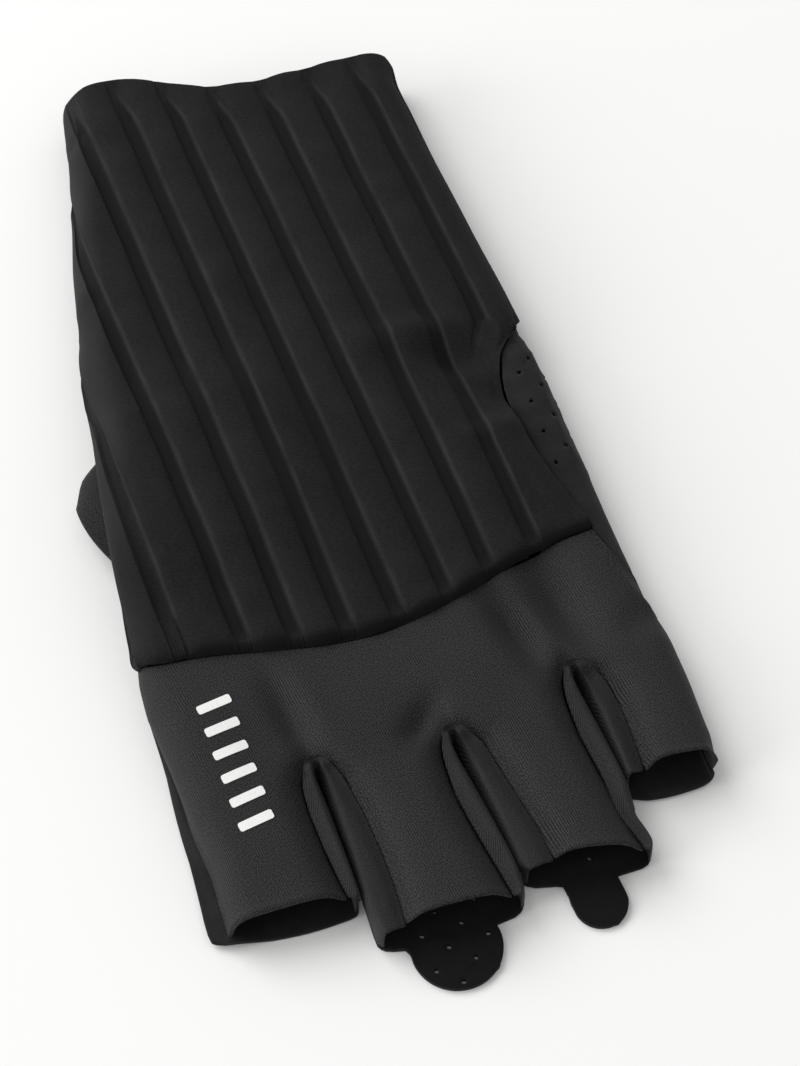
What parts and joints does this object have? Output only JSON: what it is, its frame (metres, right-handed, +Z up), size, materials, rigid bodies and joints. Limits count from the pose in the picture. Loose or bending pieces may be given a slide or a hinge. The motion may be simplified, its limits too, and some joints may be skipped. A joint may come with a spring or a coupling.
{
  "type": "half-finger cycling glove",
  "caption": "Soft half-finger cycling glove for the left hand with a padded ribbed cuff over the wrist and back of the hand, smooth knit finger stubs and a perforated suede palm with pull tabs.",
  "frame": {"origin": "middle of the glove's footprint, on the surface that it lies on", "axes": "+Z up out of the back of the hand, +Y from the finger ends to the cuff, +X from the index finger to the little finger"},
  "size_m": [0.1158, 0.2512, 0.0178],
  "materials": {
    "padded_rib_knit": "matte black padded jersey with pressed grooves",
    "smooth_knit": "fine black twill knit with a slight sheen",
    "fourchette_knit": "black elastic knit, slightly glossy",
    "suede": "matte black synthetic suede, perforated",
    "reflective_print": "thin pale reflective print"
  },
  "bodies": {
    "root": {"ribbed_sleeve": "padded_rib_knit", "knuckle_panel": "smooth_knit", "fourchette_index_middle": "fourchette_knit", "fourchette_middle_ring": "fourchette_knit", "fourchette_ring_little": "fourchette_knit", "palm_panel": "suede", "thumb_stall": "smooth_knit"}
  },
  "joints": []
}
